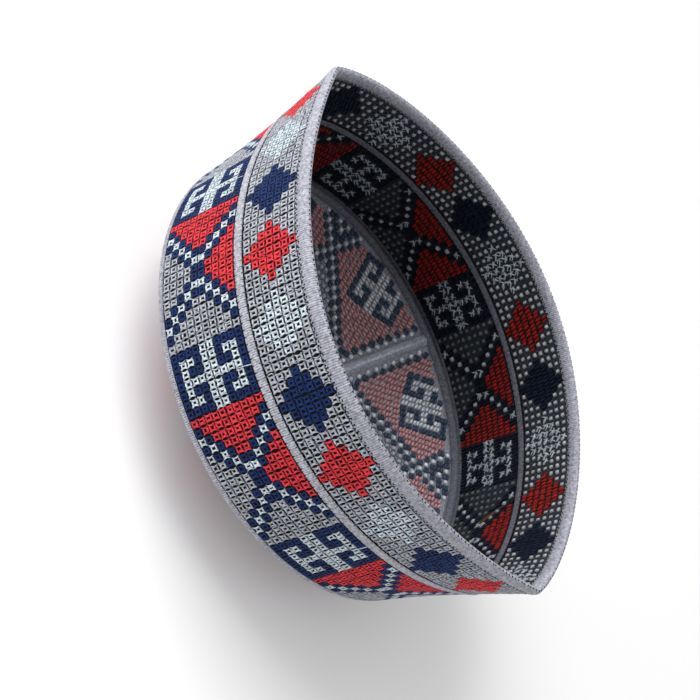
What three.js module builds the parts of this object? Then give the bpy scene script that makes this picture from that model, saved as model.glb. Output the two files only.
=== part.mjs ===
// A kufi: a round brimless cap of stitched cloth that rests on its crown, with its opening up.
// Millimetres. The origin is the middle of the crown's flattened top on the surface it rests on, and +Z
// runs to the rim.
// +X is the near side, where the wall stands almost upright. -X is the far side, where it leans in.
// Y runs between the rim's two pinched ends, +Y to the right as seen from the near side.

import * as THREE from "three";

// Driving sizes
const cell = 3.4; // one stitch square, along the wall
const cloth = 1.9; // thickness of the stitched cloth
const seamGap = 0.3; // room between two pieces that are sewn together
const crownRadius = 92.6;
const crownSeamWidth = 4.2; // satin border round the crown
const footHeight = 30; // the wall's foot above the surface: the crown bulges this far
const crownSlope = 0.57; // rise of the crown's panels towards the wall, per millimetre
const crownCreasing = 0.12; // share by which the crown is steeper along its seams than between them
const crownFlattening = 0.25; // softness of the bend round the part that lies flat
const crownThickness = 2.1; // measured upright
const crownTurnDeg = -2.1; // the seams between the crown's panels stand this much askew to the axes
const panelSeam = { halfWidth: 2.2, swell: 0.4 }; // satin ribs between the crown's four panels
const slant = 67; // height of the wall along the cloth, edging included
const roundSteps = 120; // segments round every ring

// The rim is a lens of two unlike halves that meet in two soft corners, on the Y axis.
const rim = {
  halfLength: 105.1,
  shiftX: 13.2,
  turnDeg: -3.6,
  twistDeg: 2.3, // how far the crown's start lies ahead of the rim's
  dip: 2.1, // the corners sit this much lower, and the sides this much higher
};
const rimSides = [
  { side: 1, reach: 79.1, fullness: 0.926, skew: 0.066 },
  { side: -1, reach: 95.1, fullness: 0.647, skew: 0.008 },
];

// The wall's courses, from the crown to the rim, in stitch squares along the cloth
const courses = [
  { name: "crown_edging", squares: 0.63 },
  { name: "upper_band", squares: 10 },
  { name: "welt", squares: 1.35 },
  { name: "lower_band", squares: 7 },
  { name: "rim_edging", squares: 1.55 },
];
const edgingSwell = 0.45; // how far the satin edging stands proud of the cloth, on each face
const weltSwell = 0.3;

const colours = {
  panel: { color: 0x8f4a4e, roughness: 0.9 },
  satin: { color: 0xc8c6cc, roughness: 0.55 },
  welt: { color: 0xb4b2b6, roughness: 0.6 },
  upper: { color: 0x9aa0ac, roughness: 0.88 },
  lower: { color: 0xb9b6b4, roughness: 0.88 },
};

function clothMaterial(name) {
  const { color, roughness } = colours[name];
  return new THREE.MeshStandardMaterial({ color, roughness, metalness: 0 });
}

// One side of the rim's outline, from the corner on -Y to the corner on +Y
function rimSide({ side, reach, fullness, skew }, steps) {
  const points = [];
  for (let i = 0; i <= steps; i += 1) {
    const t = -Math.cos((Math.PI * i) / steps);
    const x = reach * Math.pow(Math.max(1 - t * t, 0), fullness) * (1 + skew * t);
    points.push(new THREE.Vector2(side * x, t * rim.halfLength));
  }
  return points;
}

// The whole outline as a closed list of points, counterclockwise from the corner on -Y
function rimOutline() {
  const steps = 400;
  const near = rimSide(rimSides[0], steps);
  const far = rimSide(rimSides[1], steps).reverse();
  const turn = THREE.MathUtils.degToRad(rim.turnDeg);
  const shift = new THREE.Vector2(rim.shiftX, 0);
  const middle = new THREE.Vector2(0, 0);
  return [...near, ...far.slice(1, -1)].map((point) => point.rotateAround(middle, turn).add(shift));
}

// Equal steps along a closed outline, each with its place and its outward direction
function evenSteps(outline, count) {
  const along = [0];
  outline.forEach((point, i) => {
    along.push(along[i] + point.distanceTo(outline[(i + 1) % outline.length]));
  });
  const total = along[outline.length];
  const placeAt = (length) => {
    const wanted = ((length % total) + total) % total;
    let i = 0;
    while (along[i + 1] < wanted) i += 1;
    const share = (wanted - along[i]) / (along[i + 1] - along[i]);
    return new THREE.Vector2().lerpVectors(outline[i], outline[(i + 1) % outline.length], share);
  };
  const reach = total / count / 2;
  return Array.from({ length: count }, (_, k) => {
    const length = (total * k) / count;
    const way = placeAt(length + reach).sub(placeAt(length - reach)).normalize();
    return { place: placeAt(length), out: new THREE.Vector2(way.y, -way.x) };
  });
}

// The crown's seam circle, stepped like the rim so that step k of one lies above step k of the other
function crownSteps(count) {
  return Array.from({ length: count }, (_, k) => {
    const angle = (2 * Math.PI * k) / count - Math.PI / 2 + THREE.MathUtils.degToRad(rim.twistDeg);
    const out = new THREE.Vector2(Math.cos(angle), Math.sin(angle));
    return { place: out.clone().multiplyScalar(crownRadius), out };
  });
}

// Straight lines of cloth that run from the crown's seam to the rim, all of about the same length
function wallLines(count) {
  const low = crownSteps(count);
  const high = evenSteps(rimOutline(), count);
  return low.map(({ place, out }, k) => {
    const flare = high[k].place.distanceTo(place);
    const lift = rim.dip * -Math.cos((4 * Math.PI * k) / count);
    const height = Math.sqrt(slant * slant - flare * flare) + lift;
    return { foot: place, footOut: out, top: high[k].place, topOut: high[k].out, height };
  });
}

const lines = wallLines(roundSteps);

// The point on a wall line, a share of the way up and a distance out from the cloth's middle
function wallPoint(line, share, off) {
  const out = new THREE.Vector2().lerpVectors(line.footOut, line.topOut, share).normalize();
  const place = new THREE.Vector2().lerpVectors(line.foot, line.top, share).addScaledVector(out, off);
  return new THREE.Vector3(place.x, place.y, footHeight + share * line.height);
}

// A closed ring: sectionAt gives the same number of points on every wall line, inner foot first,
// then outer foot, outer top and inner top
function ringGeometry(sectionAt) {
  const sections = lines.map(sectionAt);
  const size = sections[0].length;
  const positions = sections.flat().flatMap((point) => point.toArray());
  const indices = [];
  for (let i = 0; i < sections.length; i += 1) {
    const next = (i + 1) % sections.length;
    for (let j = 0; j < size; j += 1) {
      const after = (j + 1) % size;
      const a = i * size + j;
      const b = i * size + after;
      const c = next * size + after;
      const d = next * size + j;
      indices.push(a, d, c, a, c, b);
    }
  }
  const geometry = new THREE.BufferGeometry();
  geometry.setAttribute("position", new THREE.Float32BufferAttribute(positions, 3));
  geometry.setIndex(indices);
  geometry.computeVertexNormals();
  return geometry;
}

// Shares of the wall's height where each course starts and ends, less half a seam gap at each end
function courseSpan(name) {
  const total = courses.reduce((sum, course) => sum + course.squares, 0);
  const index = courses.findIndex((course) => course.name === name);
  const before = courses.slice(0, index).reduce((sum, course) => sum + course.squares, 0);
  const trim = seamGap / 2 / slant;
  const start = before / total + (index > 0 ? trim : 0);
  const isLast = index === courses.length - 1;
  const end = (before + courses[index].squares) / total - (isLast ? 0 : trim);
  return { start, end };
}

// A plain band of cloth: four corners
function band(name) {
  const { start, end } = courseSpan(name);
  const half = cloth / 2;
  return ringGeometry((line) => [
    wallPoint(line, start, -half),
    wallPoint(line, start, half),
    wallPoint(line, end, half),
    wallPoint(line, end, -half),
  ]);
}

// A band of satin stitch that swells between its two edges, with a rounded end if it closes the cloth
function satinBand(name, swell, isRounded) {
  const { start, end } = courseSpan(name);
  const half = cloth / 2;
  const profile = [
    { at: 0, off: -half },
    { at: 0, off: half },
    { at: 0.3, off: half + swell },
    { at: 0.7, off: half + swell },
    { at: 1, off: isRounded ? half / 3 : half },
    { at: 1, off: isRounded ? -half / 3 : -half },
    { at: 0.7, off: -half - swell },
    { at: 0.3, off: -half - swell },
  ];
  return ringGeometry((line) =>
    profile.map(({ at, off }) => wallPoint(line, THREE.MathUtils.lerp(start, end, at), off)),
  );
}

const crownTurn = THREE.MathUtils.degToRad(crownTurnDeg);

// Height of the crown's outer face above the surface at a place in plan: level in the middle, then
// sloping up to the wall's foot, steepest along the four seams
function crownFace(place) {
  const depth = footHeight - crownThickness / 2;
  const creasing = 1 + crownCreasing * Math.cos(4 * (place.angle() - crownTurn));
  const drop = (crownSlope * creasing * (crownRadius - place.length())) / depth;
  const blend = Math.max(crownFlattening - Math.abs(drop - 1), 0) / crownFlattening;
  const share = Math.min(drop, 1) - (blend * blend * crownFlattening) / 4;
  return depth * (1 - share);
}

// The seam ring: its inner arm follows the crown's slope, and its outer arm rises into the wall
function crownSeamRing() {
  const { end } = courseSpan("crown_edging");
  const half = cloth / 2;
  const onCrown = (line, inset, lift) => {
    const place = line.footOut.clone().multiplyScalar(crownRadius - inset);
    return new THREE.Vector3(place.x, place.y, crownFace(place) + lift);
  };
  return ringGeometry((line) => [
    onCrown(line, crownSeamWidth, 0),
    onCrown(line, 0, 0),
    wallPoint(line, 0, half),
    wallPoint(line, end, half),
    wallPoint(line, end, -half),
    onCrown(line, half * 1.5, crownThickness),
    onCrown(line, crownSeamWidth, crownThickness),
  ]);
}

// A closed slab of crown cloth over a grid of places in plan; swellAt thickens it on both faces
function crownSlab(columns, rows, placeAt, swellAt) {
  const positions = [];
  for (const side of [0, 1]) {
    for (let i = 0; i <= columns; i += 1) {
      for (let j = 0; j <= rows; j += 1) {
        const place = placeAt(i / columns, j / rows);
        const swell = swellAt(j / rows) * (side ? 1 : -1);
        const height = Math.max(crownFace(place) + side * crownThickness + swell, 0);
        positions.push(place.x, place.y, height);
      }
    }
  }
  const layer = (columns + 1) * (rows + 1);
  const at = (i, j, side) => side * layer + i * (rows + 1) + j;
  const indices = [];
  for (let i = 0; i < columns; i += 1) {
    for (let j = 0; j < rows; j += 1) {
      indices.push(at(i, j, 1), at(i + 1, j, 1), at(i + 1, j + 1, 1));
      indices.push(at(i, j, 1), at(i + 1, j + 1, 1), at(i, j + 1, 1));
      indices.push(at(i, j, 0), at(i + 1, j + 1, 0), at(i + 1, j, 0));
      indices.push(at(i, j, 0), at(i, j + 1, 0), at(i + 1, j + 1, 0));
    }
  }
  const wall = (a, b) => indices.push(a, b, b + layer, a, b + layer, a + layer);
  for (let i = 0; i < columns; i += 1) {
    wall(at(i, 0, 0), at(i + 1, 0, 0));
    wall(at(i + 1, rows, 0), at(i, rows, 0));
  }
  for (let j = 0; j < rows; j += 1) {
    wall(at(columns, j, 0), at(columns, j + 1, 0));
    wall(at(0, j + 1, 0), at(0, j, 0));
  }
  const geometry = new THREE.BufferGeometry();
  geometry.setAttribute("position", new THREE.Float32BufferAttribute(positions, 3));
  geometry.setIndex(indices);
  geometry.computeVertexNormals();
  return geometry;
}

const crownEdge = crownRadius - crownSeamWidth - seamGap;

// One quarter of the crown, between two seams that stand at right angles in plan
function crownPanel(quarter) {
  const inset = panelSeam.halfWidth + seamGap;
  const nearest = inset * 1.5;
  const turn = (quarter * Math.PI) / 2 + crownTurn;
  const middle = new THREE.Vector2(0, 0);
  const placeAt = (outward, round) => {
    const reach = THREE.MathUtils.lerp(nearest, crownEdge, outward);
    const margin = Math.asin(inset / reach);
    const angle = THREE.MathUtils.lerp(margin, Math.PI / 2 - margin, round);
    const place = new THREE.Vector2(reach * Math.cos(angle), reach * Math.sin(angle));
    return place.rotateAround(middle, turn);
  };
  return crownSlab(12, 10, placeAt, () => 0);
}

// A satin rib along one seam, from one distance out to another
function crownSeam(angleDeg, from, to) {
  const turn = THREE.MathUtils.degToRad(angleDeg) + crownTurn;
  const middle = new THREE.Vector2(0, 0);
  const placeAt = (outward, across) => {
    const reach = THREE.MathUtils.lerp(from, to, outward);
    const side = THREE.MathUtils.lerp(-panelSeam.halfWidth, panelSeam.halfWidth, across);
    return new THREE.Vector2(reach, side).rotateAround(middle, turn);
  };
  return crownSlab(24, 4, placeAt, (across) => panelSeam.swell * Math.sin(Math.PI * across));
}

function piece(name, geometry, colour) {
  const mesh = new THREE.Mesh(geometry, clothMaterial(colour));
  mesh.name = name;
  return mesh;
}

const kufi = new THREE.Group();
["near_right", "far_right", "far_left", "near_left"].forEach((corner, quarter) => {
  kufi.add(piece(`crown_panel_${corner}`, crownPanel(quarter), "panel"));
});
const seamStart = panelSeam.halfWidth + seamGap;
const seamEnd = Math.sqrt(crownEdge * crownEdge - panelSeam.halfWidth * panelSeam.halfWidth);
kufi.add(
  piece("crown_seam_across", crownSeam(0, -seamEnd, seamEnd), "satin"),
  piece("crown_seam_right", crownSeam(90, seamStart, seamEnd), "satin"),
  piece("crown_seam_left", crownSeam(-90, seamStart, seamEnd), "satin"),
  piece("crown_edging", crownSeamRing(), "satin"),
  piece("upper_band", band("upper_band"), "upper"),
  piece("welt", satinBand("welt", weltSwell, false), "welt"),
  piece("lower_band", band("lower_band"), "lower"),
  piece("rim_edging", satinBand("rim_edging", edgingSwell, true), "satin"),
);

export default kufi;
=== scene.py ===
# A kufi: a round brimless cap of stitched cloth, resting on its crown with the opening up.
# Sizes are in millimetres and turn into metres where a mesh is made. The stage, the camera's clipping
# and the bump's distance are in metres, and the noise scales of yarn and cloth are per metre.
# +X is the near side, -X the far side, and Y runs between the rim's two pinched ends.

import math

import bpy
import numpy as np
from mathutils import Matrix, Vector


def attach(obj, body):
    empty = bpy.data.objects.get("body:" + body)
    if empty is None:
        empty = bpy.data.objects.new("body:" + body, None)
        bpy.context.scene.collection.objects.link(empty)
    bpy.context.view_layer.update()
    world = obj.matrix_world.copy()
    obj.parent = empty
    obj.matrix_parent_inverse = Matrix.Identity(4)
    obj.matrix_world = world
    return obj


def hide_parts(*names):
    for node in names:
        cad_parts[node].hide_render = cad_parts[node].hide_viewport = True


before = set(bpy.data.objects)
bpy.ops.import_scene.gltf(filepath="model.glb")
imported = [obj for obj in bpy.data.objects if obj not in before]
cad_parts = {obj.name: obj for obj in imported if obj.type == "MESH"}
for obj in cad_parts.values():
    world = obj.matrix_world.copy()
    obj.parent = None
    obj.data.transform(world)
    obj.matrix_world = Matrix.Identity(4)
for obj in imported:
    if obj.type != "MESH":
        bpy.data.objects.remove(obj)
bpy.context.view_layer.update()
rng = np.random.default_rng(7)
millimetre = 0.001  # in metres

# Camera: the photograph's angle, rolled so that the rim's ends lie top and bottom right
camera = {
    "place": (468.4, 1.4, 347.0),
    "forward": (-0.8404, -0.0114, -0.5419),
    "down": (0.2020, 0.9212, -0.3326),
    "lens": 71.31,
    "sensor": 36.0,
    "nearest": 0.01,
    "farthest": 50.0,
}


def makeCamera():
    data = bpy.data.cameras.new("camera")
    data.lens = camera["lens"]
    data.sensor_width = camera["sensor"]
    data.clip_start = camera["nearest"]
    data.clip_end = camera["farthest"]
    obj = bpy.data.objects.new("camera", data)
    back = -Vector(camera["forward"]).normalized()
    up = -Vector(camera["down"])
    up = (up - back * up.dot(back)).normalized()
    right = up.cross(back)
    turn = Matrix((right, up, back)).transposed().to_4x4()
    obj.matrix_world = Matrix.Translation(Vector(camera["place"]) * millimetre) @ turn
    bpy.context.scene.collection.objects.link(obj)
    bpy.context.scene.camera = obj


makeCamera()
bpy.context.scene.view_settings.view_transform = "Standard"
print("camera placed")

# Shape of the cap
cap = {
    "cell": 3.4,  # one stitch square along the wall
    "cloth": 1.9,  # thickness of the wall
    "slant": 67.0,  # height of the wall along the cloth
    "joinGap": 0.04,  # sewn pieces all but touch
    "footHeight": 30.0,  # the wall's foot above the surface
    "lowest": 0.02,  # threads are pressed flat to this height where the crown rests
    "ringSteps": 342,
    "wallSteps": 1440,
    "probe": 0.5,  # how far out a second place is read, to tell which way a face looks
}
rim = {
    "halfLength": 105.1,
    "shiftX": 13.2,
    "turnDeg": -3.6,
    "twistDeg": 2.3,
    "dip": 2.1,
    "sideSteps": 401,
    "wayParts": 240,  # the rim's direction is read over two such parts of its length
}
rimSides = [
    {"side": 1, "reach": 79.1, "fullness": 0.926, "skew": 0.066},
    {"side": -1, "reach": 95.1, "fullness": 0.647, "skew": 0.008},
]
crown = {
    "radius": 92.6,
    "slope": 0.57,
    "creasing": 0.12,
    "flattening": 0.25,
    "thickness": 2.1,
    "turnDeg": -2.1,
    "edgingWidth": 4.2,
    "seamHalf": 2.2,
    "seamSwell": 0.4,
}
courses = {"crownEdging": 0.63, "upperBand": 10.0, "welt": 1.35, "lowerBand": 7.0, "rimEdging": 1.55}
allSquares = sum(courses.values())
upward = np.array([0.0, 0.0, 1.0])
level = np.array([1, 1, 0])  # takes the height out of a place
halfCloth = cap["cloth"] / 2
halfGap = cap["joinGap"] / 2 / cap["slant"] * allSquares  # in squares
ringShares = np.arange(cap["ringSteps"]) / cap["ringSteps"]
crownTurn = math.radians(crown["turnDeg"])
crownEdge = crown["radius"] - crown["edgingWidth"] - cap["joinGap"]


def courseStart(name):
    names = list(courses)
    return sum(courses[n] for n in names[: names.index(name)])


def unit(vectors):
    return vectors / np.maximum(np.linalg.norm(vectors, axis=-1, keepdims=True), 1e-9)


# Direction, from the cap's middle, of a share of the way round the wall's foot
def footAngle(share):
    return 2 * math.pi * share - math.pi / 2 + math.radians(rim["twistDeg"])


def rimSide(side, reach, fullness, skew):
    t = -np.cos(np.linspace(0, math.pi, rim["sideSteps"]))
    x = side * reach * np.maximum(1 - t * t, 0) ** fullness * (1 + skew * t)
    return np.stack([x, t * rim["halfLength"]], -1)


def rimOutline():
    near = rimSide(**rimSides[0])
    far = rimSide(**rimSides[1])[::-1]
    points = np.concatenate([near, far[1:-1]])
    c = math.cos(math.radians(rim["turnDeg"]))
    s = math.sin(math.radians(rim["turnDeg"]))
    return points @ np.array([[c, s], [-s, c]]) + np.array([rim["shiftX"], 0])


# The wall as straight lines of cloth from the crown's seam to the rim
def wallTable(count):
    outline = rimOutline()
    closed = np.vstack([outline, outline[:1]])
    along = np.concatenate([[0], np.cumsum(np.linalg.norm(np.diff(closed, axis=0), axis=1))])
    total = along[-1]

    def placeAt(length):
        length = np.mod(length, total)
        return np.stack([np.interp(length, along, closed[:, i]) for i in (0, 1)], -1)

    k = np.arange(count + 1)
    reach = total / rim["wayParts"]
    length = total * k / count
    top = placeAt(length)
    way = unit(placeAt(length + reach) - placeAt(length - reach))
    topOut = np.stack([way[:, 1], -way[:, 0]], -1)
    angle = footAngle(k / count)
    footOut = np.stack([np.cos(angle), np.sin(angle)], -1)
    foot = footOut * crown["radius"]
    flare = np.linalg.norm(top - foot, axis=1)
    height = np.sqrt(cap["slant"] ** 2 - flare**2) - rim["dip"] * np.cos(4 * math.pi * k / count)
    return np.column_stack([foot, footOut, top, topOut, height])


wall = wallTable(cap["wallSteps"])


# A place on the wall: share of the way round, stitch squares up from its foot, millimetres outward
def wallPoint(around, squares, off):
    around, squares, off = np.broadcast_arrays(around, squares, off)
    spot = np.mod(around, 1) * cap["wallSteps"]
    row = np.stack([np.interp(spot, np.arange(len(wall)), column) for column in wall.T], -1)
    share = (squares / allSquares)[..., None]
    out = unit(row[..., 2:4] * (1 - share) + row[..., 6:8] * share)
    place = row[..., 0:2] * (1 - share) + row[..., 4:6] * share + out * off[..., None]
    height = cap["footHeight"] + share[..., 0] * row[..., 8]
    return np.concatenate([place, height[..., None]], -1)


def crownFace(x, y):
    depth = cap["footHeight"] - crown["thickness"] / 2
    creasing = 1 + crown["creasing"] * np.cos(4 * (np.arctan2(y, x) - crownTurn))
    drop = crown["slope"] * creasing * (crown["radius"] - np.hypot(x, y)) / depth
    soft = crown["flattening"]
    blend = np.maximum(soft - np.abs(drop - 1), 0) / soft
    share = np.minimum(drop, 1) - blend**2 * soft / 4
    return np.maximum(depth * (1 - share), 0)


# A place on the crown: off 0 is the middle of the cloth, and out is down
def crownPoint(x, y, off):
    x, y, off = np.broadcast_arrays(x, y, off)
    return np.stack([x, y, crownFace(x, y) + crown["thickness"] / 2 - off], -1)


# Finishes: colours in the order grey, white, red, navy
threads = {
    "outside": [(0.385, 0.405, 0.455), (0.56, 0.64, 0.705), (0.7, 0.036, 0.05), (0.003, 0.022, 0.115)],
    "lowInside": [(0.4, 0.4, 0.44), (0.4, 0.45, 0.49), (0.27, 0.012, 0.008), (0.002, 0.007, 0.028)],
    # the upper band's inside: yarns darkened by painted shade, where the band lies deep in the cap
    "deepInside": [
        (0.11, 0.112, 0.125), (0.33, 0.375, 0.42), (0.25, 0.01, 0.008), (0.003, 0.006, 0.018)
    ],
    "crown": [(0.33, 0.355, 0.41), (0.58, 0.61, 0.68), (0.5, 0.255, 0.27), (0.045, 0.07, 0.12)],
    # how light the threads beneath the dots, beads and strands are, in the same order of colours: painted
    # shade, as shares of each yarn's colour
    "underShade": {
        "lowInside": (0.12, 0.07, 0.12, 0.12),
        "deepInside": (0.2, 0.06, 0.2, 0.2),
        "crown": (0.45, 0.42, 0.45, 0.45),
    },
    "roughness": 0.55,
    "sheen": 0.04,
    "fade": 0.4,
    "fadeScale": 900.0,
    "fadeDetail": 3,
    "edges": (0.6, 0.85),  # painted shade: how much darker a stitch is at its ends and its sides
    "twist": 4.0,  # scale of the wave that makes the plies
    "twistWander": 0.6,
    "bump": (0.45, 0.00012),  # strength and distance
    "satinRoughness": 0.45,
    # painted shade on satin threads: how much darker they are at their ends and their sides
    "satinEdgeShade": (0.25, 0.5),
    "satinTwist": 0.7,
}
grounds = {
    "outside": (0.003, 0.003, 0.004),
    "inside": (0.016, 0.025, 0.034),
    "crown": (0.2, 0.21, 0.25),
    "holes": (0.006, 0.006, 0.01),
    "roughness": 0.95,
    "fade": 0.5,
    "weave": 1900.0,
    "bump": (0.5, 0.0001),
}
gloss = {"sheenRoughness": 0.45, "specular": 0.13, "rampEnds": (0.3, 0.7)}
satins = {
    "rim": (0.33, 0.335, 0.385),
    "welt": (0.35, 0.355, 0.4),
    "inner": (0.13, 0.133, 0.165),  # inside, on the welt and the crown's edging
    "seam": (0.4, 0.425, 0.5),
    "ridge": (0.4, 0.42, 0.49),
}


def newMaterial(name, roughness, sheen):
    material = bpy.data.materials.new(name)
    material.use_nodes = True
    shader = material.node_tree.nodes["Principled BSDF"]
    shader.inputs["Roughness"].default_value = roughness
    shader.inputs["Sheen Weight"].default_value = sheen
    shader.inputs["Sheen Roughness"].default_value = gloss["sheenRoughness"]
    shader.inputs["Specular IOR Level"].default_value = gloss["specular"]
    return material, material.node_tree.nodes, material.node_tree.links, shader


def colourRange(nodes, links, shader, source, colour, spread):
    ramp = nodes.new("ShaderNodeValToRGB")
    for element, at, lighter in zip(ramp.color_ramp.elements, gloss["rampEnds"], (1 - spread, 1 + spread)):
        element.position = at
        element.color = (*[min(c * lighter, 1) for c in colour], 1)
    links.new(source, ramp.inputs["Fac"])
    links.new(ramp.outputs["Color"], shader.inputs["Base Color"])


def noiseTexture(nodes, links, vector, scale, detail=2):
    noise = nodes.new("ShaderNodeTexNoise")
    noise.inputs["Scale"].default_value = scale
    noise.inputs["Detail"].default_value = detail
    links.new(vector, noise.inputs["Vector"])
    return noise.outputs["Fac"]


def addBump(nodes, links, shader, height, bump):
    node = nodes.new("ShaderNodeBump")
    node.inputs["Strength"].default_value = bump[0]
    node.inputs["Distance"].default_value = bump[1]
    links.new(height, node.inputs["Height"])
    links.new(node.outputs["Normal"], shader.inputs["Normal"])


# A maths node whose inputs are sockets or numbers
def maths(nodes, links, operation, *inputs):
    node = nodes.new("ShaderNodeMath")
    node.operation = operation
    for socket, value in zip(node.inputs, inputs):
        if isinstance(value, bpy.types.NodeSocket):
            links.new(value, socket)
        else:
            socket.default_value = value
    return node.outputs[0]


# Painted shade: a thread is darker where it dips, towards both its ends and both its sides
def paintEdgeShade(nodes, links, shader, uv, edges):
    parts = nodes.new("ShaderNodeSeparateXYZ")
    links.new(uv, parts.inputs[0])
    shades = []
    for axis, depth, power in (("X", edges[0], 4), ("Y", edges[1], 2)):
        centred = maths(nodes, links, "MULTIPLY_ADD", parts.outputs[axis], 2, -1)
        away = maths(nodes, links, "ABSOLUTE", centred)
        curved = maths(nodes, links, "POWER", away, power)
        shades.append(maths(nodes, links, "MULTIPLY_ADD", curved, -depth, 1))
    both = maths(nodes, links, "MULTIPLY", *shades)
    scaled = nodes.new("ShaderNodeVectorMath")
    scaled.operation = "SCALE"
    links.new(shader.inputs["Base Color"].links[0].from_socket, scaled.inputs[0])
    links.new(both, scaled.inputs["Scale"])
    links.new(scaled.outputs[0], shader.inputs["Base Color"])


# Twisted yarn: plies run slantwise along each stitch, by the stitch's own UV
def threadMaterial(
    name, colour, roughness=threads["roughness"], twist=threads["twist"], edges=threads["edges"]
):
    material, nodes, links, shader = newMaterial(name, roughness, threads["sheen"])
    coords = nodes.new("ShaderNodeTexCoord").outputs
    noise = noiseTexture(nodes, links, coords["Object"], threads["fadeScale"], threads["fadeDetail"])
    colourRange(nodes, links, shader, noise, colour, threads["fade"])
    # painted shade towards each stitch's ends and sides
    paintEdgeShade(nodes, links, shader, coords["UV"], edges)
    wave = nodes.new("ShaderNodeTexWave")
    wave.bands_direction = "DIAGONAL"
    wave.inputs["Scale"].default_value = twist
    wave.inputs["Distortion"].default_value = threads["twistWander"]
    links.new(coords["UV"], wave.inputs["Vector"])
    addBump(nodes, links, shader, wave.outputs["Fac"], threads["bump"])
    return material


def satinMaterial(name, colour):
    return threadMaterial(
        name, colour, threads["satinRoughness"], threads["satinTwist"], threads["satinEdgeShade"]
    )


def groundMaterial(name, colour):
    material, nodes, links, shader = newMaterial(name, grounds["roughness"], 0.0)
    coords = nodes.new("ShaderNodeTexCoord").outputs
    noise = noiseTexture(nodes, links, coords["Object"], grounds["weave"])
    colourRange(nodes, links, shader, noise, colour, grounds["fade"])
    addBump(nodes, links, shader, noise, grounds["bump"])
    return material


colourNames = ["grey", "white", "red", "navy"]
yarn = {
    place: [threadMaterial(f"yarn_{place}_{n}", c) for n, c in zip(colourNames, threads[place])]
    for place in ("outside", "lowInside", "deepInside", "crown")
}
# Darker copies of the yarns, for threads that lie beneath others: painted shade
shadedUnderYarn = {
    place: [
        threadMaterial(f"under_{place}_{n}", [share * x for x in c])
        for n, c, share in zip(colourNames, threads[place], shares)
    ]
    for place, shares in threads["underShade"].items()
}
blackCloth = groundMaterial("black_cloth", grounds["outside"])
insideCloth = groundMaterial("inside_cloth", grounds["inside"])
needleHole = groundMaterial("needle_hole", grounds["holes"])
crownCloth = groundMaterial("crown_cloth", grounds["crown"])
satin = {n: satinMaterial(f"satin_{n}", c) for n, c in satins.items()}
print("materials made")


# Meshes come from arrays of places in millimetres
def makePiece(name, places, quads, materials, faceMaterial=None, uv=None):
    mesh = bpy.data.meshes.new(name)
    quads = np.asarray(quads, np.int32)
    mesh.vertices.add(len(places))
    mesh.vertices.foreach_set("co", (places * millimetre).astype(np.float32).ravel())
    mesh.loops.add(quads.size)
    mesh.loops.foreach_set("vertex_index", quads.ravel())
    mesh.polygons.add(len(quads))
    mesh.polygons.foreach_set("loop_start", np.arange(0, quads.size, 4, dtype=np.int32))
    if faceMaterial is not None:
        mesh.polygons.foreach_set("material_index", np.asarray(faceMaterial, np.int32))
    mesh.polygons.foreach_set("use_smooth", np.ones(len(quads), bool))
    for material in materials:
        mesh.materials.append(material)
    if uv is not None:
        layer = mesh.uv_layers.new(name="UVMap")
        layer.data.foreach_set("uv", uv[quads.ravel()].astype(np.float32).ravel())
    mesh.update(calc_edges=True)
    mesh.validate()
    obj = bpy.data.objects.new(name, mesh)
    bpy.context.scene.collection.objects.link(obj)
    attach(obj, "root")
    return obj


# A closed ring from places (steps round, points of the section, 3)
def ringPiece(name, places, materials, sectionMaterial=None):
    steps, points = places.shape[:2]
    i, j = np.meshgrid(np.arange(steps), np.arange(points), indexing="ij")
    a = i * points + j
    b = i * points + (j + 1) % points
    c = (i + 1) % steps * points + (j + 1) % points
    d = (i + 1) % steps * points + j
    quads = np.stack([a, d, c, b], -1).reshape(-1, 4)
    faceMaterial = None if sectionMaterial is None else np.tile(sectionMaterial, steps)
    return makePiece(name, places.reshape(-1, 3), quads, materials, faceMaterial)


threadTop = 0.85  # share of its height that a thread's flat top reaches


# Round threads: centre lines (threads, stations, 3), with the way that each stands proud
def threadBodies(lines, proud, halfWidth, height):
    section = np.array([(-1, -0.1), (-0.55, threadTop), (0.55, threadTop), (1, -0.1)])
    count, stations = lines.shape[:2]
    way = unit(np.gradient(lines, axis=1))
    across = unit(np.cross(way, proud))
    w = np.broadcast_to(halfWidth, (count, stations))[..., None, None]
    h = np.broadcast_to(height, (count, stations))[..., None, None]
    sx = section[:, 0][None, None, :, None]
    sy = section[:, 1][None, None, :, None]
    places = lines[:, :, None] + across[:, :, None] * w * sx + proud[:, :, None] * h * sy
    n = len(section)
    t, s, p = np.meshgrid(np.arange(count), np.arange(stations - 1), np.arange(n - 1), indexing="ij")
    a = (t * stations + s) * n + p
    quads = np.stack([a, a + 1, a + 1 + n, a + n], -1).reshape(-1, 4)
    u = np.linspace(0, 1, stations)[None, :, None] + 0 * places[..., 0]
    v = np.linspace(0, 1, n)[None, None, :] + 0 * places[..., 0]
    uv = np.stack([u, v], -1).reshape(-1, 2)
    return places.reshape(-1, 3), quads, uv, (stations - 1) * (n - 1)
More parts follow.
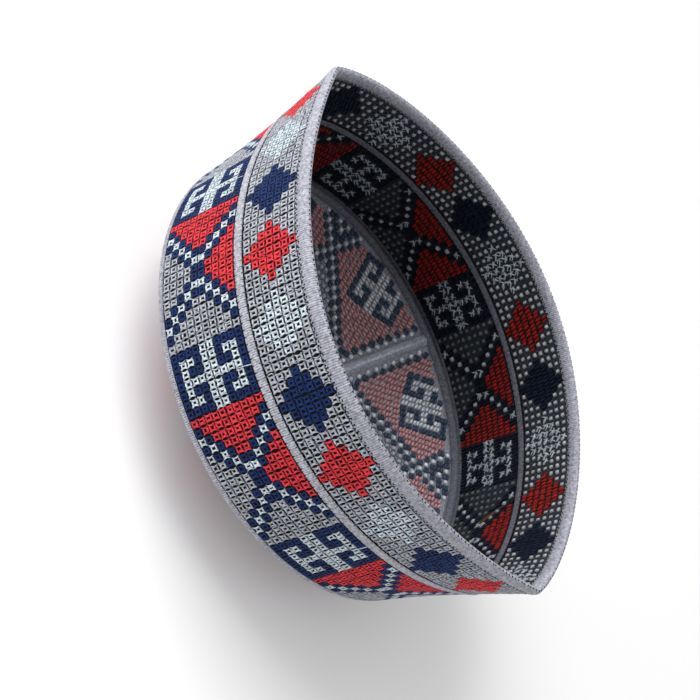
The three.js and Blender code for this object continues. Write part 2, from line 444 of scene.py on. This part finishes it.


# Stitches: each leg is (start along the wall, start up it, end along, end up, bow, half its width,
# share of the height, 1 if it lies beneath and takes painted shade), in squares from the square's middle.
# Outside, the legs ring a needle hole and leave a bar between rows. Inside, flat threads darkened by
# painted shade lie under dots and beads.
stitch = {
    "pad": {
        "legs": [
            (0.44, -0.47, 0.44, 0.47, 0.18, 0.09, 1.0, 0),
            (0.3, -0.46, 0.3, 0.46, 0.12, 0.085, 0.75, 0),
            (-0.44, 0.47, -0.44, -0.47, 0.18, 0.09, 1.0, 0),
            (-0.3, 0.46, -0.3, -0.46, 0.12, 0.085, 0.75, 0),
            (-0.27, -0.29, 0.27, -0.31, 0.0, 0.12, 0.9, 0),
            (0.27, 0.29, -0.27, 0.31, 0.0, 0.12, 0.9, 0),
        ],
        "height": 0.36,
    },
    "crown_pad": {
        "legs": [
            (0.42, -0.47, 0.42, 0.47, 0.16, 0.14, 1.0, 0),
            (-0.42, 0.47, -0.42, -0.47, 0.16, 0.14, 1.0, 0),
            (-0.27, -0.29, 0.27, -0.31, 0.0, 0.12, 0.9, 0),
            (0.27, 0.29, -0.27, 0.31, 0.0, 0.12, 0.9, 0),
        ],
        "height": 0.36,
    },
    "dot": {
        "legs": [
            (-0.08, -0.28, 0.08, 0.28, 0.0, 0.28, 1.0, 0),
            (-0.5, -0.5, 0.5, 0.5, 0.0, 0.1, 0.3, 1),
            (-0.5, 0.5, 0.5, -0.5, 0.0, 0.1, 0.3, 1),
        ],
        "height": 0.7,
    },
    "blob": {
        "legs": [
            (-0.04, -0.34, 0.04, 0.34, 0.0, 0.35, 1.0, 0),
            (0.0, -0.52, 0.0, 0.52, 0.0, 0.56, 0.2, 1),
        ],
        "height": 0.7,
    },
    "bead": {
        "legs": [
            (-0.38, -0.44, -0.12, 0.36, 0.0, 0.215, 1.0, 0),
            (0.12, -0.36, 0.38, 0.44, 0.0, 0.215, 1.0, 0),
            (0.0, -0.52, 0.0, 0.52, 0.0, 0.56, 0.2, 1),
        ],
        "height": 0.75,
    },
    "strand": {
        "legs": [
            (-0.5, -0.3, 0.46, 0.2, 0.12, 0.1, 1.0, 0),
            (0.34, -0.5, -0.2, 0.5, -0.1, 0.1, 0.8, 0),
            (-0.34, -0.36, 0.3, 0.44, -0.14, 0.09, 0.9, 0),
            (0.0, -0.52, 0.0, 0.52, 0.0, 0.56, 0.2, 1),
        ],
        "height": 0.62,
        "unevenness": 0.11,
    },
    "stations": 4,
    "taper": 0.5,
    "arch": 0.3,
    "roundFrom": 0.08,  # share of the arch that is cut off at each end of a leg
    "unevenness": 0.036,
    "widthSpread": 0.16,
    "widthLimits": (0.72, 1.32),
    "step": 0.05,  # in squares, to read the slope of the cloth
}


# surface(u, v, off) gives places; side is 1 outside and -1 inside
def stitches(name, kind, surface, u, v, colours, side, base, size, materials):
    legs = np.array(stitch[kind]["legs"])
    stations = stitch["stations"]
    t = np.linspace(0, 1, stations)
    along = legs[:, 2:4] - legs[:, 0:2]
    aside = unit(np.stack([-along[:, 1], along[:, 0]], -1)) * legs[:, 4:5]
    bow = np.sin(math.pi * t)
    du = legs[:, 0, None] + along[:, 0, None] * t + aside[:, 0, None] * bow
    dv = legs[:, 1, None] + along[:, 1, None] * t + aside[:, 1, None] * bow
    uneven = stitch[kind].get("unevenness", stitch["unevenness"])
    shake = rng.normal(0, uneven, (2, len(u), len(legs), 1))
    uu = u[:, None, None] + du[None] + shake[0]
    vv = v[:, None, None] + dv[None] + shake[1]
    off = side * base
    e = stitch["step"]
    lines = surface(uu, vv, off)
    normal = np.cross(
        surface(uu + e, vv, off) - surface(uu - e, vv, off),
        surface(uu, vv + e, off) - surface(uu, vv - e, off),
    )
    outward = surface(uu, vv, off + side * cap["probe"]) - lines
    proud = unit(normal)
    proud = proud * np.sign((proud * outward).sum(-1, keepdims=True))
    shape = (-1, stations, 3)
    lines = lines.reshape(shape)
    proud = proud.reshape(shape)
    thick = np.clip(rng.normal(1, stitch["widthSpread"], (len(lines), 1)), *stitch["widthLimits"])
    halfWidth = np.tile(legs[:, 5], len(u))[:, None]
    cut = stitch["roundFrom"]
    rise = np.sqrt(np.sin(math.pi * (cut + (1 - 2 * cut) * t)))
    width = halfWidth * size * (stitch["taper"] + (1 - stitch["taper"]) * rise)[None] * thick
    high = stitch[kind]["height"] * (stitch["arch"] + (1 - stitch["arch"]) * rise)[None] * thick
    high = high * np.tile(legs[:, 6], len(u))[:, None]
    places, quads, uv, perThread = threadBodies(lines, proud, width, high)
    places[:, 2] = np.maximum(places[:, 2], cap["lowest"])
    # threads that lie beneath take the darker copies of their yarn, which is painted shade
    shadedBeneath = np.tile(legs[:, 7].astype(int), len(u)) * len(colourNames)
    faceMaterial = np.repeat(np.repeat(colours, len(legs)) + shadedBeneath, perThread)
    return makePiece(name, places, quads, materials, faceMaterial, uv)


# Charts: G grey, W white, R red, N navy
letters = {"G": 0, "W": 1, "R": 2, "N": 3}
squareChart = [
    "NNNNWWNNNN",
    "NWWNWWNWWN",
    "NWNNWWNNWN",
    "NWWWWWWWWN",
    "NWNNWWNNWN",
    "NWWNWWNWWN",
    "NNNNWWNNNN",
]
# Lengths in squares; each band's first square stands by the same corner of the rim
repeat = {
    "squares": 168,
    "slack": 3.07,  # how much longer the wall is than its squares
    "slackFrom": 112,
    "slackOver": 20,
    "cornerU": -35.2255,
    "upper": 23,
    "upperFirst": -26,
    "upperShift": 9.925,  # the upper band's count runs this far ahead of the lower band's
    "crossingFrom": -7,
    "squareFrom": 9,
    "lower": 8,
    "lowerFirst": -36,
}
roundCells = repeat["squares"] + repeat["slack"]


# Share of the way round for a place in the pattern; the slack is taken up near one corner
def aroundAt(u):
    t = np.clip((u - repeat["slackFrom"]) / repeat["slackOver"], 0, 1)
    eased = u + repeat["slack"] * t * t * (3 - 2 * t)
    return (eased - repeat["cornerU"]) / roundCells


# A crossing of dotted lines with red and grey sides, then a fretted square. k counts along the band and
# c up it. aside and away are the distances from the crossing's middle, along the band and up or down.
def upperColour(k, c):
    k = (k - repeat["crossingFrom"]) % repeat["upper"] + repeat["crossingFrom"]
    if k >= repeat["squareFrom"]:
        return letters[squareChart[k - repeat["squareFrom"]][c]]
    away = 4 - c if c <= 4 else c - 5
    aside = k - 1 if k >= 1 else -k
    if aside < away:
        return letters["R"] if c >= 6 else letters["G"]
    if aside == away or aside == away + 2:
        return letters["N"]
    if aside == away + 1:
        return letters["W"]
    return letters["G"] if k >= 1 else letters["R"]


# Rhombi on grey, red, white and navy by turns
def lowerColour(u, c):
    middle = repeat["lower"] // 2
    local = (u + middle) % repeat["lower"] - middle
    index = (u - repeat["lowerFirst"]) // repeat["lower"]
    if abs(c - 3) <= 3 - abs(local):
        return letters["RWN"[index % 3]]
    return letters["G"]


def wallSurface(u, v, off):
    return wallPoint(aroundAt(u), v, off)


def bandSection(node, grid):
    low = courseStart(node) + halfGap
    high = courseStart(node) + courses[node] - halfGap
    up = np.linspace(low, high, grid)
    squares = np.concatenate([up[::-1], up])
    off = np.concatenate([np.full(grid, -halfCloth), np.full(grid, halfCloth)])
    return wallPoint(ringShares[:, None], squares[None], off[None])


# Inside, red and navy squares show two slanting beads and lone white squares a blob. Grey squares and
# those in solid white areas show the kinds given. chart is the grid of colours.
def insideKinds(chart, greyKind, whiteKind):
    white = chart == letters["W"]
    beside = sum(np.roll(white, step, axis) for step in (-1, 1) for axis in (0, 1)) > 0
    squares = [(greyKind, chart == letters["G"]), ("blob", white & ~beside),
               (whiteKind, white & beside), ("bead", chart > letters["W"])]
    kinds = {}
    for kind, chosen in squares:
        kinds[kind] = kinds.get(kind, False) | chosen.ravel()
    return kinds.items()


def makeBand(name, node, chart, first, shift, insideYarn):
    high = int(courses[node])
    innerFace = (np.arange(2 * high + 2) < high).astype(int)
    cloth = ringPiece(name, bandSection(node, high + 1), [blackCloth, insideCloth], innerFace)
    k, c = np.meshgrid(first + np.arange(repeat["squares"]), np.arange(high), indexing="ij")
    k, c = k.ravel(), c.ravel()
    colours = np.array([chart(int(a), int(b)) for a, b in zip(k, c)])
    u = k - shift
    v = courseStart(node) + c + 0.5
    stitches(f"{name}_stitches_outside", "pad", wallSurface, u, v, colours, 1, halfCloth, cap["cell"],
             yarn["outside"])
    for kind, chosen in insideKinds(colours.reshape(-1, high), "dot", "strand"):
        if not chosen.any():
            continue
        stitches(f"{name}_{kind}s_inside", kind, wallSurface, u[chosen], v[chosen], colours[chosen], -1,
                 halfCloth, cap["cell"], yarn[insideYarn] + shadedUnderYarn[insideYarn])
    return cloth


# the upper band's inside takes the yarns with painted shade
upper = makeBand("upper_cloth", "upperBand", upperColour, repeat["upperFirst"], repeat["upperShift"],
                 "deepInside")
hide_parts("upper_band")
lower = makeBand("lower_cloth", "lowerBand", lowerColour, repeat["lowerFirst"], 0.0, "lowInside")
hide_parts("lower_band")
print("wall stitched")

# Satin edging: threads laid side by side over a rounded core, drawn together in threes at the borders
edging = {
    "perSquare": 4,
    "group": 3,
    "draw": 0.3,  # how far a thread's ends move to its group's middle
    "height": 0.36,
    "cover": 0.58,  # half a thread's width, as a share of its room
    "foldDepth": 0.35,  # in squares, from the cap's upper end down to the middle of the rim's fold
    "endParts": 3,  # a rounded upper end is one such part of the cloth's thickness
}
threadCount = int(roundCells * edging["perSquare"]) // edging["group"] * edging["group"]
halfThread = cap["cell"] / edging["perSquare"] * edging["cover"]


# pathAt(around, middle) gives lines and their proud ways; middle is the middle of a thread's group
def satinThreads(name, pathAt, material):
    i = np.arange(threadCount)
    middle = (i // edging["group"]) * edging["group"] + (edging["group"] - 1) / 2
    lines, proud = pathAt((i + 0.5) / threadCount, (middle + 0.5) / threadCount)
    places, quads, uv, _ = threadBodies(lines, proud, halfThread, edging["height"])
    makePiece(name, places, quads, [material], None, uv)


# Profile of squares and outward offsets, as threads that bunch towards their group at the ends. side is
# 1 outside, -1 inside, and 0 for a path over the rim's fold.
def wallPath(squares, off, side):
    squares, off = np.asarray(squares, float), np.asarray(off, float)

    def pathAt(around, middle):
        pull = np.zeros(len(squares))
        pull[[0, -1]] = edging["draw"]
        spot = around[:, None] * (1 - pull) + middle[:, None] * pull
        lines = wallPoint(spot, squares[None], off[None])
        core = wallPoint(spot, np.clip(squares, 0, allSquares - edging["foldDepth"])[None], 0 * off[None])
        proud = unit(lines - core) if side == 0 else side * unit(
            wallPoint(spot, squares[None], off[None] + cap["probe"]) - lines
        )
        return lines, proud

    return pathAt


# Core of a satin ring: flat at its seams, swollen between them, and drawn in at a rounded upper end
def satinRing(name, node, swell, rounded):
    low = courseStart(node) + halfGap
    high = courseStart(node) + courses[node] - (0 if rounded else halfGap)
    end = halfCloth / edging["endParts"] if rounded else halfCloth
    full = halfCloth + swell
    at = np.array([0, 0, 0.3, 0.7, 1, 1, 0.7, 0.3])
    off = np.array([-halfCloth, halfCloth, full, full, end, -end, -full, -full])
    places = wallPoint(ringShares[:, None], (low + (high - low) * at)[None], off[None])
    return ringPiece(name, places, [blackCloth]), low, high


# Rim profile, from its outer border over the fold to its inner one: share of the height, share outward
rimProfile = {
    "swell": 0.25,
    "at": (0.03, 0.3, 0.7, 0.97, 1.04, 0.97, 0.7, 0.3, 0.03),
    "off": (1, 1.35, 1.3, 0.75, 0, -0.75, -1.3, -1.35, -1),
}


def makeRimEdging():
    core, low, high = satinRing("rim_edging_core", "rimEdging", rimProfile["swell"], True)
    at = np.array(rimProfile["at"])
    off = np.array(rimProfile["off"]) * halfCloth
    satinThreads("rim_edging_threads", wallPath(low + (high - low) * at, off, 0), satin["rim"])
    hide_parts("rim_edging")
    makeNeedleHoles(low, high)


# Needle holes in the rim's satin: rows at these stations of its profile, two by each border and one
# on the fold
needle = {
    "spacing": 0.66,  # in squares
    "shake": 0.1,
    "radius": 0.4,
    "rows": (0.25, 0.75, 3.75, 7.3, 7.75),
    "lift": 0.05,
}


def makeNeedleHoles(low, high):
    count = int(roundCells / needle["spacing"])
    stations = np.arange(len(rimProfile["at"]))
    lift = threadTop * edging["height"] + needle["lift"]
    centres, ways = [], []
    for row, station in enumerate(needle["rows"]):
        at = np.interp(station, stations, rimProfile["at"])
        off = np.interp(station, stations, rimProfile["off"]) * halfCloth
        around = (np.arange(count) + row / 2 + rng.normal(0, needle["shake"], count)) / count
        lines, proud = wallPath([low + (high - low) * at], [off], 0)(around, around)
        centres.append(lines[:, 0] + proud[:, 0] * lift)
        ways.append(proud[:, 0])
    centre = np.concatenate(centres)[:, None]
    proud = np.concatenate(ways)
    alongWay = unit(np.cross(unit(centre[:, 0] * level), upward))
    flatWay = unit(alongWay - proud * (alongWay * proud).sum(-1, keepdims=True))[:, None]
    crossWay = np.cross(flatWay[:, 0], proud)[:, None]
    turn = (np.arange(6) * math.pi / 3)[None, :, None]  # each hole is a six-sided disc of two quads
    places = centre + needle["radius"] * (np.cos(turn) * flatWay + np.sin(turn) * crossWay)
    first = 6 * np.arange(len(centre))[:, None]
    quads = np.concatenate([first + [0, 1, 2, 3], first + [0, 3, 4, 5]])
    makePiece("rim_edging_needle_holes", places.reshape(-1, 3), quads, [needleHole])


# Welt profile: share of the height, share outward, and what its inner threads stop short, in squares
weltProfile = {
    "swell": 0.1,
    "at": (0.1, 0.35, 0.65, 0.9),
    "off": (1.0, 1.25, 1.25, 1.0),
    "innerMargin": 0.1,
}


def makeWelt():
    core, low, high = satinRing("welt_core", "welt", weltProfile["swell"], False)
    at = np.array(weltProfile["at"])
    for label, side, margin, finish in (
        ("outside", 1, 0, satin["welt"]),
        ("inside", -1, weltProfile["innerMargin"], satin["inner"]),
    ):
        start, end = low + margin, high - margin
        off = side * halfCloth * np.array(weltProfile["off"])
        satinThreads(f"welt_threads_{label}", wallPath(start + (end - start) * at, off, side), finish)
    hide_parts("welt")


makeRimEdging()
makeWelt()
print("edging and welt laid")


# The ring where the crown turns up into the wall, and where its threads run: how far they overlap the
# crown, their places across the ring's width inside and under it, and up the wall in squares
crownRing = {
    "overlap": 0.3,
    "innerCorner": 1.5,  # in half thicknesses of the cloth
    "insideAt": (0.66, 0.33),
    "outsideAt": (0.6, 0.15),
    "wallAt": (0.03, 0.3),
    "lean": 0.5,
}


def crownRingPlaces(inset, lift, angle):
    radius = crown["radius"] - inset
    x, y = radius * np.cos(angle), radius * np.sin(angle)
    return np.stack([x, y, crownFace(x, y) + lift], -1)


def makeCrownEdging():
    end = courses["crownEdging"] - halfGap
    angle = footAngle(ringShares)
    thick = crown["thickness"]
    width = crown["edgingWidth"]
    corner = halfCloth * crownRing["innerCorner"]
    parts = [
        crownRingPlaces(width, 0, angle),
        crownRingPlaces(0, 0, angle),
        wallPoint(ringShares, 0.0, halfCloth),
        wallPoint(ringShares, end, halfCloth),
        wallPoint(ringShares, end, -halfCloth),
        crownRingPlaces(corner, thick, angle),
        crownRingPlaces(width, thick, angle),
    ]
    core = ringPiece("crown_edging_core", np.stack(parts, 1), [blackCloth])
    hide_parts("crown_edging")

    def insidePath(around, middle):
        insets = [width + crownRing["overlap"], *[width * share for share in crownRing["insideAt"]], corner]
        rows = [crownRingPlaces(inset, thick, footAngle(around)) for inset in insets]
        rows.append(wallPoint(around, end, -halfCloth))
        lines = np.stack(rows, 1)
        return lines, unit(unit(-lines * level) * crownRing["lean"] + upward)

    def outsidePath(around, middle):
        insets = [width + crownRing["overlap"], *[width * share for share in crownRing["outsideAt"]]]
        rows = [crownRingPlaces(inset, 0, footAngle(around)) for inset in insets]
        ways = [unit(row * level) * crownRing["lean"] - upward for row in rows]
        for squares in (*crownRing["wallAt"], end):
            rows.append(wallPoint(around, squares, halfCloth))
            ways.append(wallPoint(around, squares, halfCloth + cap["probe"]) - rows[-1])
        return np.stack(rows, 1), unit(np.stack(ways, 1))

    satinThreads("crown_edging_threads_inside", insidePath, satin["inner"])
    satinThreads("crown_edging_threads_outside", outsidePath, satin["rim"])


makeCrownEdging()
print("crown edging laid")

# Crown: four panels, each charted both ways from its diagonal. a runs outward along the diagonal from
# the place where the dotted lines cross, and b runs across it.
panel = {
    "apex": 25.3,  # squares from the crossing in to the crown's middle
    "square": 2.933,  # one square in plan
    "ease": -0.0097,
    "squeeze": -0.0474,
    "alongFrom": -25,
    "alongTo": 8,
    "acrossTo": 28,
    "edgeRoom": 1.7,
    "middleRoom": 3,  # in squares
    "borderAt": 23,  # squares from the crossing to the white line beside a seam
    "squareFrom": 7,  # the fretted square's first square, across
    "cutShort": 1.5,  # where the cloth starts, in half widths of the seam
    "grid": (48, 40),
    "spineSteps": 200,
    "areaSteps": 60,
}


def panelSurface(quarter):
    def surface(a, b, off):
        reach = np.hypot(a + panel["apex"], b)
        phi = np.arctan2(b, a + panel["apex"])
        theta = phi + panel["ease"] * np.sin(4 * phi)
        radius = panel["square"] * reach * (1 + panel["squeeze"] * (1 - np.cos(4 * phi)) / 2)
        angle = theta + math.pi / 4 + quarter * math.pi / 2 + crownTurn
        return crownPoint(radius * np.cos(angle), radius * np.sin(angle), off)

    return surface


# A crossing of dotted lines with a fretted square on red at each side, grey within and, by the seams, a
# navy and a white line. Beyond that white line nothing is stitched.
def panelColour(a, b):
    across = abs(b)
    inside = panel["borderAt"] - (across - a)
    beside = across - abs(a)
    column = across - panel["squareFrom"]
    if inside < 0:
        return -1
    if inside == 0 or (inside > 1 and beside == 0):
        return letters["W"]
    if inside == 1 or abs(beside) == 1:
        return letters["N"]
    if abs(a) <= 3 and 0 <= column < len(squareChart[0]):
        return letters[squareChart[a + 3][column]]
    if beside > 1:
        return letters["R"]
    if a > 0:
        return letters["W"] if beside == -3 else letters["N"]
    return letters["G"]


# Cloth on the crown: placeAt(share outward, share across) gives x and y, and swellAt(share across) how
# much thicker it is on each face
def slab(name, placeAt, grid, swellAt):
    columns, rows = grid
    i, j = np.meshgrid(np.arange(columns + 1), np.arange(rows + 1), indexing="ij")
    xy = placeAt(i / columns, j / rows)
    swell = swellAt(j / rows)
    face = crownFace(xy[..., 0], xy[..., 1])
    heights = (np.maximum(face - swell, 0), face + crown["thickness"] + swell)
    places = np.concatenate([np.dstack([xy, height]).reshape(-1, 3) for height in heights])
    layer = (columns + 1) * (rows + 1)
    at = i * (rows + 1) + j
    a, b, c, d = at[:-1, :-1], at[1:, :-1], at[1:, 1:], at[:-1, 1:]
    top = np.stack([a, b, c, d], -1).reshape(-1, 4) + layer
    bottom = np.stack([a, d, c, b], -1).reshape(-1, 4)
    border = np.concatenate([at[:, 0], at[-1, 1:], at[-2::-1, -1], at[0, -2:0:-1]])
    after = np.roll(border, -1)
    sides = np.stack([border, after, after + layer, border + layer], -1)
    return makePiece(name, places, np.concatenate([top, bottom, sides]), [crownCloth])


# A crown panel is cut as a quarter of a disc: its radius runs over the dome, and its area is the dome's.
# This function only reads its places on a grid, and nothing uses them.
def declarePanel(placeAt):
    share = np.linspace(0, 1, panel["areaSteps"])
    i, j = np.meshgrid(share, share, indexing="ij")
    xy = placeAt(i, j)


seamEdge = crown["seamHalf"] + cap["joinGap"]


def makePanel(corner, quarter):
    def placeAt(outward, across):
        start = seamEdge * panel["cutShort"]
        reach = start + (crownEdge - start) * outward
        margin = np.arcsin(seamEdge / reach)
        angle = margin + (math.pi / 2 - 2 * margin) * across + quarter * math.pi / 2 + crownTurn
        return np.stack([reach * np.cos(angle), reach * np.sin(angle)], -1)

    cloth = slab(f"panel_{corner}_cloth", placeAt, panel["grid"], lambda t: 0 * t)
    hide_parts(f"crown_panel_{corner}")
    declarePanel(placeAt)
    along = np.arange(panel["alongFrom"], panel["alongTo"] + 1)
    across = np.arange(-panel["acrossTo"], panel["acrossTo"] + 1)
    a, b = np.meshgrid(along, across, indexing="ij")
    a, b = a.ravel(), b.ravel()
    surface = panelSurface(quarter)
    centre = surface(a.astype(float), b.astype(float), 0.0)
    reach = np.hypot(centre[:, 0], centre[:, 1])
    colours = np.array([panelColour(int(p), int(q)) for p, q in zip(a, b)])
    kinds = insideKinds(colours.reshape(len(along), -1), "blob", "bead")
    keep = (colours >= 0) & (reach < crownEdge - panel["edgeRoom"])
    keep &= a + panel["apex"] > panel["middleRoom"]
    a, b, colours = a[keep].astype(float), b[keep].astype(float), colours[keep]
    half = crown["thickness"] / 2
    for kind, picked in kinds:
        chosen = picked[keep]
        stitches(f"panel_{corner}_{kind}s_inside", kind, surface, a[chosen], b[chosen], colours[chosen],
                 -1, half, panel["square"], yarn["crown"] + shadedUnderYarn["crown"])
    stitches(f"panel_{corner}_stitches_outside", "crown_pad", surface, a, b, colours, 1, half,
             panel["square"], yarn["outside"])


for quarter, corner in enumerate(["near_right", "far_right", "far_left", "near_left"]):
    makePanel(corner, quarter)
print("crown stitched")


# Satin threads lie across each seam, a little wider than its core, and a ridge runs along its middle
seam = {
    "grid": (60, 6),
    "spacing": 0.75,
    "overhang": 1.18,
    "stations": 5,
    "threadHalf": 0.42,
    "threadHeight": 0.25,
    "ridgeHalf": 1.0,
    "ridgeHeight": 0.3,
    "ridgeLift": 0.15,
    "ridgeStations": 120,
}


def makeCrownSeam(name, node, angleDeg, start, end):
    turn = math.radians(angleDeg) + crownTurn
    out = np.array([math.cos(turn), math.sin(turn)])
    aside = np.array([-math.sin(turn), math.cos(turn)])

    def placeAt(outward, across):
        reach = (start + (end - start) * outward)[..., None]
        side = (crown["seamHalf"] * (2 * across - 1))[..., None]
        return out * reach + aside * side

    core = slab(f"{name}_core", placeAt, seam["grid"],
                lambda t: crown["seamSwell"] * np.sin(math.pi * t))
    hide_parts(node)
    count = int((end - start) / seam["spacing"])
    reach = start + (end - start) * (np.arange(count) + 0.5) / count
    side = np.linspace(-seam["overhang"], seam["overhang"], seam["stations"]) * crown["seamHalf"]
    xy = out * reach[:, None, None] + aside * side[None, :, None]
    face = crownFace(xy[..., 0], xy[..., 1])
    swell = crown["seamSwell"] * np.cos(side / crown["seamHalf"] / seam["overhang"] * math.pi / 2)
    for label, height, way, finish in (
        ("inside", face + crown["thickness"] + swell, 1.0, satin["seam"]),
        ("outside", face - swell, -1.0, satin["rim"]),
    ):
        lines = np.dstack([xy, height])
        proud = np.broadcast_to(way * upward, lines.shape)
        places, quads, uv, _ = threadBodies(lines, proud, seam["threadHalf"], seam["threadHeight"])
        places[:, 2] = np.maximum(places[:, 2], cap["lowest"])
        makePiece(f"{name}_threads_{label}", places, quads, [finish], None, uv)
    spine = out * np.linspace(start, end, seam["ridgeStations"])[:, None]
    lift = crown["thickness"] + crown["seamSwell"] + seam["ridgeLift"]
    ridge = np.column_stack([spine, crownFace(spine[:, 0], spine[:, 1]) + lift])[None]
    proud = np.broadcast_to(upward, ridge.shape)
    places, quads, uv, _ = threadBodies(ridge, proud, seam["ridgeHalf"], seam["ridgeHeight"])
    makePiece(f"{name}_ridge", places, quads, [satin["ridge"]], None, uv)


seamEnd = math.sqrt(crownEdge**2 - crown["seamHalf"] ** 2)
makeCrownSeam("seam_across", "crown_seam_across", 0, -seamEnd, seamEnd)
makeCrownSeam("seam_right", "crown_seam_right", 90, seamEdge, seamEnd)
makeCrownSeam("seam_left", "crown_seam_left", -90, seamEdge, seamEnd)
print("crown seams laid")

# White threads carried from each fretted square of the upper band up over the welt's lower border.
# Lengths in squares; above, rise, halfWidth and height in millimetres.
carried = {
    "first": 12.5,
    "repeats": range(-1, 6),
    "from": 8.2,
    "over": 2.1,
    "slant": 0.25,
    "above": 0.55,
    "rise": 0.2,
    "halfWidth": 0.16,
    "height": 0.25,
    "stations": 5,
    "lookFrom": 1.0,  # millimetres outward, used as the cap's probe is
}


def makeCarriedThreads():
    u = carried["first"] + repeat["upper"] * np.array(carried["repeats"]) - repeat["upperShift"]
    t = np.linspace(0, 1, carried["stations"])
    v = courseStart("upperBand") + carried["from"] + carried["over"] * t
    off = halfCloth + carried["above"] + carried["rise"] * np.sin(math.pi * t)
    lines = wallSurface(u[:, None] + carried["slant"] * t, v, off)
    proud = unit(wallSurface(u[:, None], v, off + carried["lookFrom"]) - lines)
    places, quads, uv, _ = threadBodies(lines, proud, carried["halfWidth"], carried["height"])
    makePiece("carried_threads", places, quads, [yarn["outside"][1]], None, uv)


makeCarriedThreads()
print("carried threads laid")

# A brown thread inside the far wall, doubled at its lower end, that dips beneath two white dots.
# Its places are (along, up, height above the cloth), in squares, squares and millimetres.
brownThread = {
    "colour": (0.125, 0.056, 0.021),
    "long": [(61.48, 5.14, 0.3), (61.86, 5.96, 0.5), (62.22, 6.74, 0.5), (62.54, 7.34, 0.35),
             (63.06, 7.78, -0.1), (63.18, 8.56, 0.35), (63.78, 9.0, -0.1)],
    "short": [(61.2, 5.3, 0.25), (61.58, 6.08, 0.45), (61.95, 6.85, 0.45), (62.34, 7.38, 0.25)],
    "halfWidths": (0.48, 0.5),
    "height": 0.4,
    "stations": 19,
    "roundFrom": 0.1,
}


def makeBrownThread():
    lines, prouds = [], []
    t = np.linspace(0, 1, brownThread["stations"])
    for part in ("long", "short"):
        path = np.array(brownThread[part])
        spot = t * (len(path) - 1)
        u, v, above = [np.interp(spot, np.arange(len(path)), values) for values in path.T]
        lines.append(wallSurface(u, v, -halfCloth - above))
        prouds.append(unit(wallSurface(u, v, -halfCloth - above - cap["probe"]) - lines[-1]))
    cut = brownThread["roundFrom"]
    rise = np.sqrt(np.sin(math.pi * (cut + (1 - 2 * cut) * t)))
    halfWidths = np.array(brownThread["halfWidths"])[:, None] * rise
    places, quads, uv, _ = threadBodies(
        np.stack(lines), np.stack(prouds), halfWidths, brownThread["height"]
    )
    brown = threadMaterial("yarn_brown", brownThread["colour"])
    makePiece("brown_thread", places, quads, [brown], None, uv)


makeBrownThread()
print("brown thread laid")

# Stage: pale floor, soft light from the side of the upper corner
stageSet = {
    "floorSize": 8.0,
    "floorColour": (0.9, 0.9, 0.9),
    "floorRoughness": 0.9,
    "floorFade": 0.01,
    "floorScale": 3,
    "worldStrength": 0.72,
    "keyPlace": (0.2, -1.2, 1.15),
    "keyPower": 24.0,
    "fillPlace": (0.9, -0.8, 0.12),
    "fillPower": 11.0,
    "lightSize": 1.1,
    "lightTarget": (0, 0, 0.05),
}


def makeLight(name, place, power):
    data = bpy.data.lights.new(name, "AREA")
    data.energy = power
    data.size = stageSet["lightSize"]
    obj = bpy.data.objects.new(name, data)
    obj.location = place
    way = Vector(stageSet["lightTarget"]) - Vector(place)
    obj.rotation_euler = way.to_track_quat("-Z", "Y").to_euler()
    bpy.context.scene.collection.objects.link(obj)


def makeStage():
    half = stageSet["floorSize"] / 2
    mesh = bpy.data.meshes.new("floor")
    corners = [(-half, -half, 0), (half, -half, 0), (half, half, 0), (-half, half, 0)]
    mesh.from_pydata(corners, [], [(0, 1, 2, 3)])
    floor = bpy.data.objects.new("floor", mesh)
    bpy.context.scene.collection.objects.link(floor)
    material, nodes, links, shader = newMaterial("floor_paint", stageSet["floorRoughness"], 0.0)
    noise = nodes.new("ShaderNodeTexNoise")
    noise.inputs["Scale"].default_value = stageSet["floorScale"]
    colourRange(nodes, links, shader, noise.outputs["Fac"], stageSet["floorColour"], stageSet["floorFade"])
    mesh.materials.append(material)
    world = bpy.data.worlds.new("studio")
    world.use_nodes = True
    sky = world.node_tree.nodes["Background"]
    sky.inputs["Color"].default_value = (1, 1, 1, 1)
    sky.inputs["Strength"].default_value = stageSet["worldStrength"]
    bpy.context.scene.world = world
    makeLight("key", stageSet["keyPlace"], stageSet["keyPower"])
    makeLight("fill", stageSet["fillPlace"], stageSet["fillPower"])


makeStage()
print("stage set")
